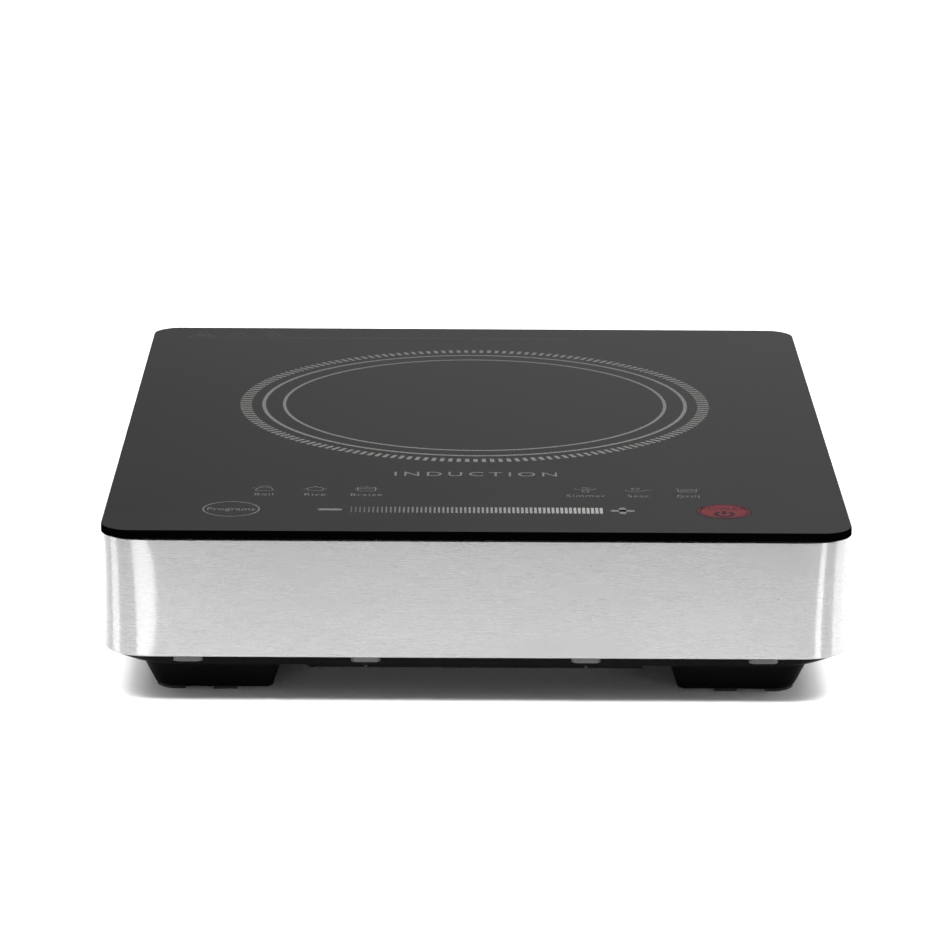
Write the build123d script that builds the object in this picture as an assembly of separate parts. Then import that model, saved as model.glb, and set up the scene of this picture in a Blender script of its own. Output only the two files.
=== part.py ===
from build123d import *
import math
import os

# A table-top induction cooktop, built as the separate pieces it comes apart into.
# Frame: millimetres, X to the right, Y towards the back, Z up. The origin is on the
# surface the feet stand on, below the centre of the glass.

# ---- Driving dimensions ------------------------------------------------------------------
# Glass and the steel band under it.
overall_height = 81.5
glass_width = 340.0
glass_depth = 411.0
glass_thickness = 4.0
glass_radius = 14.0
glass_arris = 0.35
gasket_thickness = 0.6
gasket_width = 7.0
band_inset = 0.5
band_height = 55.0
band_radius = 17.0
band_edge_radius = 1.5
band_sheet = 0.8
band_top_flange = 14.0
band_bottom_flange = 15.0
seam_gap = 0.3
seam_strip_width = 12.0
vent_slots = 12
vent_pitch = 7.0
vent_slot_width = 3.0
vent_slot_height = 26.0
vent_height = 50.0
vent_field_centre = 50.0

# Base pan with its moulded feet.
rim_height = 4.5
rim_reveal = 0.8
rim_inset_top = 2.4
rim_inset_bottom = 4.0
rim_radius_top = 18.0
rim_radius_bottom = 32.0
pan_floor = 2.0
pan_ledge = 16.0
upstand_height = 8.0
upstand_wall = 2.0
upstand_clearance = 0.3
upstand_radius = 4.5
belly_half_width = 77.5
belly_drop = 1.2
belly_taper = 3.0
spacer_size = 13.6
spacer_radius = 3.0
spacer_thickness = 2.2
spacer_clearance = 0.05
lug_inset = 7.5
lug_x_near = 50.0
lug_x_far = 130.5
lug_side_y = 70.0
lug_floor = 1.2
case_screw_radius = 1.5
case_screw_bore = 1.7
case_screw_length = 8.0
case_screw_head = (2.75, 1.0)
foot_bottom_inset = (22.5, 22.0)
foot_bottom_size = 54.0
foot_outer_radius = 11.0
foot_inner_radius = 3.6
foot_flare = 8.2
foot_inner_flare = 4.8
foot_wall = 2.6
foot_edge_radius = 1.2
pad_height = 1.2
pad_recess = 0.8
pad_margin = 0.5
corner_pad_start = 133.0
bar_pad_start = 109.7
bar_pad_end = 120.0

# Cord bushing in the rear wall.
bushing_x = -125.0
bushing_z = 38.0
bushing_neck_radius = 7.0
bushing_flange_radius = 10.0
bushing_flange = 2.8
bushing_inner_flange = 2.4
bushing_tail = 8.0
cord_radius = 4.2
earth_offset = 30.0
earth_stud_radius = 2.0
earth_hole_radius = 2.05

# Cooking zone: coil, carrier and what is on them.
zone_y = 37.5
coil_inner_radius = 26.0
coil_turns = 20
coil_pitch = 4.1
litz_radius = 2.2
mica_thickness = 0.5
mica_radius = 111.0
carrier_radius = 112.0
carrier_thickness = 6.0
hub_radius = 10.0
ferrite_count = 8
ferrite_width = 12.0
ferrite_thickness = 5.0
ferrite_start = 28.0
ferrite_end = 98.0
ear_radius = 7.5
ear_circle = 116.0
ear_thickness = 3.0
ear_angles = (35, 145, 215, 325)
spring_length = 12.4
spring_radius = 3.8
spring_wire = 0.6
spring_turns = 4
ear_post_radius = 5.0
ear_hole_radius = 1.7
carrier_window_radius = 13.0
carrier_window_places = (62.0, 94.0)
sensor_radius = 6.0
sensor_lead_radius = 2.0
sensor_depth = 3.0
lead_radius = 1.8

# Fan.
fan_y = 100.0
fan_size = 92.0
fan_height = 25.4
fan_bore = 45.0
fan_hole_spacing = 82.5
fan_blades = 7
fan_blade_tip = 43.3
fan_hub_radius = 19.0
fan_hub_wall = 1.5
shaft_radius = 1.5
shaft_clearance = 0.03
bearing_radius = 4.0
magnet_wall = 1.8
blade_size = (34.0, 22.0, 1.6)
blade_pitch = 38.0
air_guide_half_width = 68.0
air_guide_y = (8.0, 53.0)
air_guide_height = 33.0
air_guide_wall = 1.2
grille_radii = range(10, 44, 6)
grille_slot = 3.0
floor_vent_count = 6
floor_vent_start = 96.0
floor_vent_pitch = 8.0
floor_vent_length = 90.0
floor_vent_width = 3.0

# Boards.
board_thickness = 1.6
board_hole_radius = 1.7
small_pilot_radius = 1.25
large_pilot_radius = 1.5
power_post_radius = 3.5
bracket_post_radius = 4.0
bracket_height = 3.0
bracket_sheet = 1.6
power_board_x = 84.0
power_board_y = (-112.0, 50.0)
power_board_z = 27.0
touch_board_x = 128.0
touch_board_y = (-184.0, -117.0)
touch_board_z = 67.4
key_y = -167.8
icon_y = -132.0
power_key_x = 113.3
function_key_x = -112.2
plus_key_x = 67.2
slider_half_length = 49.0
slider_pads = 8
led_size = (3.2, 1.8, 1.4)
led_offset = 9.0
icon_x = (-98.3, -74.7, -50.9, 50.9, 75.2, 98.3)

# Layout of the power board: (x0, x1, y0, y1, height) of each boxed part.
resonance_capacitor_box = (8.0, 50.0, -34.0, -12.0, 31.0)
filter_capacitor_box = (-32.0, 0.0, -32.0, -12.0, 28.0)
mains_capacitor_box = (-78.0, -52.0, -62.0, -50.0, 20.0)
current_transformer_box = (58.0, 78.0, -34.0, -18.0, 16.0)
supply_core_box = (-22.0, -2.0, -72.0, -54.0, 17.0)
sink_x = 62.0
sink_y = (10.0, 46.0)
sink_lift = 8.0
sink_base = 4.0
sink_fin_top = 23.0
sink_fins = 16
sink_fin_pitch = 8.0
sink_fin_thickness = 1.6
choke_centre = (-58.0, -22.0)
choke_radii = (17.0, 9.0)
choke_half_height = 6.0
choke_turns = 18
varistor_place = (-40.0, -56.0)
varistor_radius = 7.0
fuse_place = (-68.0, -76.0)
fuse_half_length = 10.0
fuse_cap_length = 5.0
mains_terminal_x = (-60.0, -48.0, -36.0)
mains_terminal_y = -98.0
supply_capacitor_list = [(12.0, -58.0, 18.0, 5.0), (28.0, -58.0, 20.0, 6.3)]
buzzer_place = (66.0, -58.0)
buzzer_height = 9.5
coil_terminal_x = (-34.0, -18.0)
coil_terminal_y = (-88.0, -80.0)
chip_box = (30.0, 52.0, -92.0, -85.0)
chip_legs = 8
chip_leg_pitch = 2.54
cable_x = (10.0, 30.0)
cable_low_y = -106.25
cable_high_y = -120.25
cable_thickness = 0.8

# ---- Levels and sizes that follow from them ----------------------------------------------
glass_bottom = overall_height - glass_thickness
band_top = glass_bottom - gasket_thickness
band_bottom = band_top - band_height
band_width = glass_width - 2 * band_inset
band_depth = glass_depth - 2 * band_inset
rim_bottom = band_bottom - rim_height
floor_top = rim_bottom + pan_floor
belly_bottom = rim_bottom - belly_drop
belly_top = belly_bottom + pan_floor
rim_top = band_bottom - rim_reveal
spacer_bottom = band_bottom - spacer_thickness
screw_seat = spacer_bottom - lug_floor
boss_root = rim_bottom + 0.1
foot_left = -band_width / 2 + foot_bottom_inset[0]
foot_front = -band_depth / 2 + foot_bottom_inset[1]
lug_y = band_depth / 2 - lug_inset
lug_x = band_width / 2 - lug_inset
mica_top = glass_bottom - 0.05
mica_bottom = mica_top - mica_thickness
litz_level = mica_bottom - 0.05 - litz_radius
carrier_top = litz_level - litz_radius - 0.1
carrier_bottom = carrier_top - carrier_thickness
post_top = carrier_bottom - spring_length
fan_bottom = belly_top + 4.0
fan_top = fan_bottom + fan_height
board_top = power_board_z + board_thickness
touch_board_top = touch_board_z + board_thickness
lug_places = [(x, y) for x in (-lug_x_far, -lug_x_near, lug_x_near, lug_x_far) for y in (-lug_y, lug_y)]
lug_places += [(x, y) for x in (-lug_x, lug_x) for y in (-lug_side_y, lug_side_y)]
ear_places = [
    (ear_circle * math.cos(math.radians(a)), zone_y + ear_circle * math.sin(math.radians(a)))
    for a in ear_angles
]
board_posts = [(x, y) for x in (-76.0, 76.0) for y in (-104.0, 4.0)]
bracket_posts = [(x, y) for x in (-63.0, 63.0) for y in (-175.0, -130.0)]
fan_holes = [
    (x, fan_y + y)
    for x in (-fan_hole_spacing / 2, fan_hole_spacing / 2)
    for y in (-fan_hole_spacing / 2, fan_hole_spacing / 2)
]


# ---- Small helpers -----------------------------------------------------------------------
def block(x0, x1, y0, y1, z0, z1):
    """A box from its lowest to its highest corner."""
    return Pos((x0 + x1) / 2, (y0 + y1) / 2, (z0 + z1) / 2) * Box(x1 - x0, y1 - y0, z1 - z0)


def rod(x, y, z0, z1, radius):
    """An upright cylinder."""
    return Pos(x, y, (z0 + z1) / 2) * Cylinder(radius, z1 - z0)


def tube(x, y, z0, z1, outer, inner):
    """An upright tube."""
    return rod(x, y, z0, z1, outer) - rod(x, y, z0 - 1, z1 + 1, inner)


def rod_along_y(x, z, y0, y1, radius):
    """A cylinder whose axis runs front to back."""
    return Pos(x, (y0 + y1) / 2, z) * Rot(90, 0, 0) * Cylinder(radius, y1 - y0)


def rod_along_x(y, z, x0, x1, radius):
    """A cylinder whose axis runs side to side."""
    return Pos((x0 + x1) / 2, y, z) * Rot(0, 90, 0) * Cylinder(radius, x1 - x0)


def slab(width, depth, radius, z0, z1):
    """A plate with rounded corners, centred on the origin."""
    return Pos(0, 0, z0) * extrude(RectangleRounded(width, depth, radius), z1 - z0)


def ends(shape):
    """The edges round a shape's lowest and highest faces."""
    faces = shape.faces().sort_by(Axis.Z)
    return faces[0].edges() + faces[-1].edges()


def screw(x, y, z, length, radius, head_radius, head_height, up=False):
    """A cross-recess screw whose head's bearing face is at z. It points down, or up."""
    arm = head_radius * 0.55
    cross = Box(2 * arm, 0.9, head_height) + Box(0.9, 2 * arm, head_height)
    head = Pos(0, 0, head_height / 2) * Cylinder(head_radius, head_height)
    head = fillet(head.faces().sort_by(Axis.Z)[-1].edges(), head_height * 0.35)
    head -= Pos(0, 0, head_height) * cross
    shape = head + Pos(0, 0, -length / 2) * Cylinder(radius, length)
    return Pos(x, y, z) * (Rot(180, 0, 0) if up else Rot(0, 0, 0)) * shape


def group(shapes):
    """Several separate solids kept in one node."""
    return Compound(children=[s for shape in shapes for s in shape.solids()])


def mirrored_feet(make):
    """The same shape at each of the four corners."""
    corner = make()
    right = mirror(corner, about=Plane.YZ)
    return [corner, right, mirror(corner, about=Plane.XZ), mirror(right, about=Plane.XZ)]


# ---- Outside -----------------------------------------------------------------------------
def glass_top():
    plate = slab(glass_width, glass_depth, glass_radius, glass_bottom, overall_height)
    return chamfer(ends(plate), glass_arris)


def glass_gasket():
    """The silicone bead that beds the glass on the band's top flange."""
    outer = slab(band_width - 4, band_depth - 4, band_radius - 2, band_top, glass_bottom)
    width, depth = band_width - 4 - 2 * gasket_width, band_depth - 4 - 2 * gasket_width
    return outer - slab(width, depth, band_radius - 2 - gasket_width, band_top - 1, glass_bottom + 1)


def rear_slot(x):
    slot = extrude(SlotOverall(vent_slot_height, vent_slot_width, rotation=90), 4, both=True)
    return Pos(x, band_depth / 2, vent_height) * Rot(90, 0, 0) * slot


def steel_band():
    """One strip of brushed sheet wrapped round the case, with a flange turned in at each edge."""
    outer = slab(band_width, band_depth, band_radius, band_bottom, band_top)
    outer = fillet(ends(outer), band_edge_radius)
    width, depth = band_width - 2 * band_sheet, band_depth - 2 * band_sheet
    low, high = band_bottom + band_sheet, band_top - band_sheet
    inner = slab(width, depth, band_radius - band_sheet, low, high)
    inner = fillet(ends(inner), band_edge_radius - band_sheet)
    top, bottom = band_top_flange, band_bottom_flange
    middle = (band_bottom + band_top) / 2
    band = outer - inner
    band -= slab(band_width - 2 * top, band_depth - 2 * top, 6, middle, band_top + 1)
    band -= slab(band_width - 2 * bottom, band_depth - 2 * bottom, 5, band_bottom - 1, middle)
    first = (vent_slots - 1) * vent_pitch / 2
    for field in (-vent_field_centre, vent_field_centre):
        for i in range(vent_slots):
            band -= rear_slot(field - first + i * vent_pitch)
    rear = band_depth / 2
    band -= rod_along_y(bushing_x, bushing_z, rear - 5, rear + 5, bushing_neck_radius)
    band -= block(-seam_gap / 2, seam_gap / 2, rear - 20, rear + 1, band_bottom - 1, band_top + 1)
    for x, y in lug_places:
        band -= rod(x, y, band_bottom - 1, band_bottom + 2, case_screw_radius)
    return band - rod(bushing_x + earth_offset, lug_y, band_bottom - 1, band_bottom + 2, earth_hole_radius)


def band_seam_strip():
    """The backing strip that is spot-welded behind the band's butt joint."""
    rear = band_depth / 2 - band_sheet
    half = seam_strip_width / 2
    return block(-half, half, rear - band_sheet, rear, band_bottom + 3, band_top - 3)


def foot_outline(left, front, size, outer_radius, inner_radius):
    """A square with one large corner radius, at the corner of the case, and three small ones."""
    square = Pos(left + size / 2, front + size / 2) * Rectangle(size, size)
    corners = square.vertices().sort_by(lambda v: v.X + v.Y)
    square = fillet(corners[1:], inner_radius)
    return fillet(square.vertices().sort_by(lambda v: v.X + v.Y)[0], outer_radius)


def foot_block(shrink, z_bottom, z_top):
    """The front left foot's tapered block. A positive shrink gives the hollow inside it."""
    left, front, size = foot_left + shrink, foot_front + shrink, foot_bottom_size - 2 * shrink
    low = foot_outline(left, front, size, foot_outer_radius - shrink, foot_inner_radius - shrink)
    high = foot_outline(
        left - foot_flare,
        front - foot_flare,
        size + foot_flare + foot_inner_flare,
        foot_outer_radius + foot_flare - shrink,
        foot_inner_radius - shrink,
    )
    return loft([Pos(0, 0, z_bottom) * low, Pos(0, 0, z_top) * high], ruled=True)


def foot():
    solid = foot_block(0, pad_height, rim_bottom)
    return fillet(solid.faces().sort_by(Axis.Z)[0].edges(), foot_edge_radius)


def foot_hollow():
    return foot_block(foot_wall, pad_height + foot_wall, floor_top + 0.1)


def foot_pad_pair():
    """One foot's two rubber pads: the corner pad follows the foot's outline, the other is a bar."""
    size = foot_bottom_size - 2 * pad_margin
    place = Pos(foot_left + foot_bottom_size / 2, foot_front + foot_bottom_size / 2, 0)
    outline = place * RectangleRounded(size, size, foot_outer_radius - pad_margin)
    top = pad_height + pad_recess
    outline = extrude(outline, top)
    front, back = -band_depth / 2, foot_front + foot_bottom_size
    corner = outline & block(foot_left, -corner_pad_start, front, back, 0, top)
    bar = outline & block(-bar_pad_end, -bar_pad_start, front, back, 0, top)
    return Compound(children=[*corner.solids(), *bar.solids()])


def foot_pads():
    return group(mirrored_feet(foot_pad_pair))


def pan_rim():
    """The pan's edge, which slopes in under the steel band and rounds off more at the corners."""
    top = Pos(0, 0, rim_top) * RectangleRounded(
        band_width - 2 * rim_inset_top, band_depth - 2 * rim_inset_top, rim_radius_top
    )
    bottom = Pos(0, 0, rim_bottom) * RectangleRounded(
        band_width - 2 * rim_inset_bottom, band_depth - 2 * rim_inset_bottom, rim_radius_bottom
    )
    rim = loft([bottom, top], ruled=True)
    width, depth = band_width - 2 * pan_ledge, band_depth - 2 * pan_ledge
    return rim - slab(width, depth, 4, floor_top, band_bottom + 1)


def belly():
    """The middle of the floor, which hangs a little lower than the rim."""
    depth = band_depth / 2 - rim_inset_bottom - 0.6
    top, bottom = belly_half_width, belly_half_width - belly_taper
    profile = Polygon(
        (-top, rim_bottom), (-bottom, belly_bottom), (bottom, belly_bottom), (top, rim_bottom), align=None
    )
    return extrude(Plane.XZ * profile, depth, both=True)


def belly_hollow():
    half = belly_half_width - belly_taper - pan_floor
    depth = band_depth / 2 - pan_ledge - upstand_wall
    return block(-half, half, -depth, depth, belly_top, floor_top + 0.1)


def pan_upstand():
    """The wall inside the band's lower flange that locates the pan."""
    gap, top = band_bottom_flange + upstand_clearance, band_bottom + upstand_height
    outer = slab(band_width - 2 * gap, band_depth - 2 * gap, upstand_radius, rim_bottom + 0.5, top)
    gap += upstand_wall
    radius = upstand_radius - upstand_wall
    return outer - slab(band_width - 2 * gap, band_depth - 2 * gap, radius, rim_bottom, top + 1)


def intake_grille():
    """Ring-shaped slots below the fan, broken by six ribs."""
    slots = Part()
    for radius in grille_radii:
        slots += tube(0, fan_y, belly_bottom - 1, belly_top + 1, radius + grille_slot, radius)
    for i in range(3):
        slots -= Pos(0, fan_y, belly_bottom) * Rot(0, 0, 30 + 60 * i) * Box(100, 4.5, 8)
    return slots


def floor_vents():
    """Straight outlet slots in the floor, left and right of the belly."""
    slot = extrude(SlotOverall(floor_vent_length, floor_vent_width, rotation=90), 8, both=True)
    return Part() + [
        Pos(side * (floor_vent_start + floor_vent_pitch * i), 0, rim_bottom) * slot
        for side in (-1, 1)
        for i in range(floor_vent_count)
    ]


def base_pan():
    """The black moulded pan: rim, lowered floor, four hollow feet, screw seats and inner posts."""
    pan = pan_rim() + belly() - belly_hollow() + mirrored_feet(foot)
    pan -= mirrored_feet(foot_hollow)
    pan += pan_upstand()
    for x, y in ear_places:
        pan += rod(x, y, boss_root, post_top, ear_post_radius)
    for x, y in board_posts:
        pan += rod(x, y, boss_root, power_board_z, power_post_radius)
    for x, y in bracket_posts:
        pan += rod(x, y, boss_root, touch_board_z - bracket_height, bracket_post_radius)
    for x, y in fan_holes:
        pan += rod(x, y, boss_root, fan_bottom, bracket_post_radius)
    pan -= intake_grille()
    pan -= floor_vents()
    for x, y in lug_places:
        pan -= spacer_block(x, y, spacer_clearance)
        pan -= rod(x, y, belly_bottom - 1, band_bottom, case_screw_bore)
        pan -= rod(x, y, belly_bottom - 1, screw_seat, case_screw_head[0] + 0.25)
    for x, y in ear_places:
        pan -= rod(x, y, post_top - 16, post_top + 1, large_pilot_radius)
    for x, y in board_posts:
        pan -= rod(x, y, power_board_z - 7, power_board_z + 1, small_pilot_radius)
    for x, y in bracket_posts:
        pan -= rod(x, y, touch_board_z - 13, touch_board_z, small_pilot_radius)
    for x, y in fan_holes:
        pan -= rod(x, y, fan_bottom - 4, fan_bottom + 1, large_pilot_radius)
    return pan - foot_pads().solids()


def spacer_block(x, y, clearance=0.0):
    size = spacer_size + 2 * clearance
    outline = RectangleRounded(size, size, spacer_radius + clearance)
    return Pos(x, y, spacer_bottom) * extrude(outline, spacer_thickness)


def flange_spacers():
    """Grey nylon blocks that hold the band's lower flange a little above the pan."""
    hole = Pos(0, 0, spacer_bottom) * Cylinder(case_screw_bore, 4 * spacer_thickness)
    return group([spacer_block(x, y) - Pos(x, y, 0) * hole for x, y in lug_places])


def case_screws():
    size = (case_screw_length, case_screw_radius, *case_screw_head)
    return group([screw(x, y, screw_seat, *size, up=True) for x, y in lug_places])


def cord_bushing():
    """A moulded bushing that snaps into the rear wall. The supply cord would pass through it."""
    rear = band_depth / 2
    inside = rear - band_sheet
    body = rod_along_y(bushing_x, bushing_z, rear, rear + bushing_flange, bushing_flange_radius)
    body = fillet(body.faces().sort_by(Axis.Y)[-1].edges(), 1.2)
    body += rod_along_y(bushing_x, bushing_z, inside, rear, bushing_neck_radius - 0.05)
    lip = inside - bushing_inner_flange
    body += rod_along_y(bushing_x, bushing_z, lip, inside, bushing_flange_radius - 1)
    body += rod_along_y(bushing_x, bushing_z, inside - bushing_tail, inside, bushing_neck_radius - 0.5)
    return body - rod_along_y(bushing_x, bushing_z, inside - 20, rear + 20, cord_radius)


def earth_terminal():
    """The earthing stud on the band's lower flange, with its tag and nut."""
    x, y = bushing_x + earth_offset, lug_y
    level = band_bottom + band_sheet
    stud = rod(x, y, band_bottom, level + 9, earth_stud_radius)
    tag = tube(x, y, level + 0.1, level + 0.9, 4.5, earth_hole_radius)
    tag += block(x - 2.5, x + 2.5, y - 6.5, y - 3.5, level + 0.1, level + 0.9)
    nut = Pos(x, y, level + 1.0) * extrude(RegularPolygon(4.0, 6), 3.0)
    nut -= rod(x, y, level, level + 6, earth_hole_radius)
    return group([stud, tag, nut])


# ---- Cooking zone ------------------------------------------------------------------------
def around_zone(shape, angle):
    """Turns a shape that lies along +X about the cooking zone's axis and moves it there."""
    return Pos(0, zone_y, 0) * Rot(0, 0, angle) * shape


def mica_sheet():
    return tube(0, zone_y, mica_bottom, mica_top, mica_radius, hub_radius - 2)


def litz_coil():
    """The flat winding, whose section is a row of turns that touch."""
    radii = [coil_inner_radius + i * coil_pitch for i in range(coil_turns)]
    section = Sketch() + [Pos(radius, litz_level) * Circle(litz_radius) for radius in radii]
    return Pos(0, zone_y, 0) * revolve(Plane.XZ * section, axis=Axis.Z)


def ferrite_bar(clearance=0.0):
    return block(
        ferrite_start - clearance,
        ferrite_end + clearance,
        -ferrite_width / 2 - clearance,
        ferrite_width / 2 + clearance,
        carrier_bottom - clearance,
        carrier_bottom + ferrite_thickness + clearance,
    )


def ferrite_angles():
    return [360 / ferrite_count * (i + 0.5) for i in range(ferrite_count)]


def ferrite_bars():
    return group([around_zone(ferrite_bar(), angle) for angle in ferrite_angles()])


def coil_carrier():
    """The moulded spider that holds the winding above and the ferrite bars below."""
    body = rod(0, zone_y, carrier_bottom, carrier_top, carrier_radius)
    for x, y in ear_places:
        body += rod(x, y, carrier_bottom, carrier_bottom + ear_thickness, ear_radius)
    body -= rod(0, zone_y, carrier_bottom - 1, carrier_top + 1, hub_radius)
    for angle in ferrite_angles():
        body -= around_zone(ferrite_bar(0.15), angle)
        for reach in carrier_window_places:
            window = rod(reach, 0, carrier_bottom - 1, carrier_top + 1, carrier_window_radius)
            body -= around_zone(window, angle + 180 / ferrite_count)
    for x, y in ear_places:
        body -= rod(x, y, carrier_bottom - 1, carrier_top + 1, ear_hole_radius)
        body -= rod(x, y, carrier_bottom + ear_thickness, carrier_top + 1, 4.6)
    return body


def sensor_holder():
    """The silicone cup in the coil's hub that presses the temperature sensor to the glass."""
    cup = rod(0, zone_y, carrier_bottom + 0.5, mica_bottom - 1.0, hub_radius - 0.1)
    cup -= rod(0, zone_y, mica_bottom - sensor_depth, mica_bottom, sensor_radius + 0.1)
    return cup - rod(0, zone_y, carrier_bottom, mica_bottom, sensor_lead_radius + 0.1)


def temperature_sensor():
    disc = rod(0, zone_y, mica_bottom - sensor_depth, mica_top, sensor_radius)
    return disc + rod(0, zone_y, carrier_bottom - 2, mica_bottom - 2.5, sensor_lead_radius)


def coil_springs():
    """Four compression springs that press the coil carrier up against the glass."""
    height = spring_length - 2 * spring_wire
    path = Helix(height / spring_turns, height, spring_radius)
    wire = sweep(Plane(path @ 0, z_dir=path % 0) * Circle(spring_wire), path, is_frenet=True)
    return group([Pos(x, y, post_top + spring_wire) * wire for x, y in ear_places])


def coil_screws():
    level = carrier_bottom + ear_thickness
    return group([screw(x, y, level, spring_length + 12, 1.45, 4.0, 2.2) for x, y in ear_places])


# ---- Fan ---------------------------------------------------------------------------------
def fan_frame():
    """The square fan frame, with the motor plate on four struts at its top."""
    body = Pos(0, fan_y, fan_bottom) * extrude(RectangleRounded(fan_size, fan_size, 4), fan_height)
    body -= rod(0, fan_y, fan_bottom - 1, fan_top + 1, fan_bore)
    plate = rod(0, fan_y, fan_top - 2, fan_top, fan_hub_radius)
    for angle in (0, 90, 180, 270):
        plate += Pos(0, fan_y, fan_top - 1) * Rot(0, 0, angle + 20) * Pos(31, 0, 0) * Box(30, 4, 2)
    plate += rod(0, fan_y, fan_top - 19, fan_top - 1, bearing_radius + 2)
    plate -= rod(0, fan_y, fan_top - 20, fan_top - 2, bearing_radius)
    body += plate
    for x, y in fan_holes:
        body -= rod(x, y, fan_bottom - 1, fan_top + 1, 2.15)
    return body


def fan_bearing():
    """The bronze sleeve that the fan's shaft runs in."""
    return tube(0, fan_y, fan_top - 17, fan_top - 4, bearing_radius, shaft_radius + shaft_clearance)


def fan_stator():
    """The motor's wound core, fixed round the bearing tube."""
    core = tube(0, fan_y, fan_top - 16, fan_top - 6, bearing_radius + 5, bearing_radius + 2)
    for angle in (0, 90, 180, 270):
        arm = Pos(0, fan_y, fan_top - 11) * Rot(0, 0, angle) * Pos(11, 0, 0) * Box(7, 7, 7)
        core += arm
    return core


def fan_shaft():
    return rod(0, fan_y, fan_bottom + 3.0, fan_top - 4.0, shaft_radius)


def fan_magnet():
    """The ring magnet inside the rotor's cup."""
    outer = fan_hub_radius - fan_hub_wall
    return tube(0, fan_y, fan_top - 17, fan_top - 6, outer, outer - magnet_wall)


def fan_rotor():
    """The cup that carries the magnet and shaft, with pitched blades round it."""
    cup = rod(0, fan_y, fan_bottom + 1.5, fan_top - 3.5, fan_hub_radius)
    cup -= rod(0, fan_y, fan_bottom + 3.0, fan_top, fan_hub_radius - fan_hub_wall)
    middle = (fan_bottom + fan_top) / 2 - 1.0
    ring = tube(0, fan_y, fan_bottom, fan_top, fan_blade_tip, fan_hub_radius - 0.5)
    for i in range(fan_blades):
        blade = Pos(32, 0, middle) * Rot(blade_pitch, 0, 0) * Box(*blade_size)
        cup += (Pos(0, fan_y, 0) * Rot(0, 0, 360 / fan_blades * i) * blade) & ring
    return cup


def fan_screws():
    return group([screw(x, y, fan_top, fan_height + 3.5, 1.45, 3.4, 2.2) for x, y in fan_holes])


def air_guide():
    """The hood that leads the fan's air over the heat sink."""
    front, back = air_guide_y
    inside = air_guide_half_width - air_guide_wall
    top = board_top + air_guide_height
    hood = block(-air_guide_half_width, air_guide_half_width, front, back, board_top + 2, top)
    return hood - block(-inside, inside, front - 8, back + 7, board_top, top - air_guide_wall)


# ---- Power board -------------------------------------------------------------------------
def power_board():
    board = block(-power_board_x, power_board_x, *power_board_y, power_board_z, board_top)
    for x, y in board_posts:
        board -= rod(x, y, power_board_z - 1, board_top + 1, board_hole_radius)
    return board


def board_screws():
    return group([screw(x, y, board_top, 7.5, 1.2, 2.8, 1.8) for x, y in board_posts])


def heat_sink():
    """An aluminium extrusion on two feet, with upright fins that run with the air."""
    base = board_top + sink_lift
    first = -(sink_fins - 1) * sink_fin_pitch / 2
    half = sink_fin_thickness / 2
    sink = block(-sink_x, sink_x, *sink_y, base, base + sink_base)
    for i in range(sink_fins):
        x = first + sink_fin_pitch * i
        sink += block(x - half, x + half, *sink_y, base + sink_base - 0.1, base + sink_fin_top)
    for x in (first, -first):
        sink += block(x - 1.5, x + 1.5, *sink_y, board_top, base + 0.1)
    return sink


def flat_package(x, width, depth, height):
    """A power device lying under the heat sink, with three legs bent down to the board."""
    top = board_top + sink_lift
    body = block(x - width / 2, x + width / 2, 19, 19 + depth, top - height, top)
    for i in (-1, 0, 1):
        leg_x = x + i * width * 0.32
        body += block(leg_x - 0.6, leg_x + 0.6, 13, 19.1, top - height + 1, top - height + 1.7)
        body += block(leg_x - 0.6, leg_x + 0.6, 13, 13.7, board_top, top - height + 1.7)
    return body


def igbt_transistors():
    return group([flat_package(0, 16, 21, 5), flat_package(30, 16, 21, 5)])


def bridge_rectifier():
    return flat_package(-34, 30, 20, 4.6)


def boxed(x0, x1, y0, y1, height, radius=1.0):
    """A moulded component on the power board, with rounded upright edges."""
    body = block(x0, x1, y0, y1, board_top, board_top + height)
    return fillet(body.edges().filter_by(Axis.Z), radius)


def resonance_capacitor():
    return boxed(*resonance_capacitor_box)


def filter_capacitor():
    return boxed(*filter_capacitor_box)


def mains_capacitor():
    return boxed(*mains_capacitor_box)


def current_transformer():
    x0, x1, y0, y1, _ = current_transformer_box
    bore = rod_along_y((x0 + x1) / 2, board_top + 9, y0 - 6, y1 + 8, 3)
    return boxed(*current_transformer_box) - bore


def choke_place(shape):
    return Pos(*choke_centre, board_top + 8) * shape


def choke_core():
    return choke_place(tube(0, 0, -choke_half_height, choke_half_height, *choke_radii))


def choke_winding():
    """Separate loops of wire round the ring core."""
    outer, inner = choke_radii
    loop = block(inner - 1.4, outer + 1.4, -0.7, 0.7, -choke_half_height - 1.6, choke_half_height + 1.6)
    loop -= block(inner - 0.1, outer + 0.1, -2, 2, -choke_half_height - 0.1, choke_half_height + 0.1)
    return group([choke_place(Rot(0, 0, 360 / choke_turns * i) * loop) for i in range(choke_turns)])


def varistor():
    x, y = varistor_place
    disc = rod_along_y(x, board_top + 9, y - 2, y + 2, varistor_radius)
    legs = [
        block(leg - 0.4, leg + 0.4, y - 0.4, y + 0.4, board_top, board_top + 4) for leg in (x - 3, x + 3)
    ]
    return disc + legs


def mains_fuse():
    """A glass tube fuse with brass end caps."""
    x, y = fuse_place
    level = board_top + 6
    left, right = x - fuse_half_length, x + fuse_half_length
    glass = rod_along_x(y, level, left + fuse_cap_length, right - fuse_cap_length, 2.4)
    left_cap = rod_along_x(y, level, left, left + fuse_cap_length, 2.6)
    right_cap = rod_along_x(y, level, right - fuse_cap_length, right, 2.6)
    return group([glass, left_cap, right_cap])


def fuse_clips():
    centre, y = fuse_place
    clips = []
    for x in (centre - 8.5, centre + 8.5):
        clip = block(x - 1.5, x + 1.5, y - 3.6, y + 3.6, board_top, board_top + 8.0)
        clips.append(clip - block(x - 2, x + 2, y - 2.7, y + 2.7, board_top + 1, board_top + 9))
    return group(clips)


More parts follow.
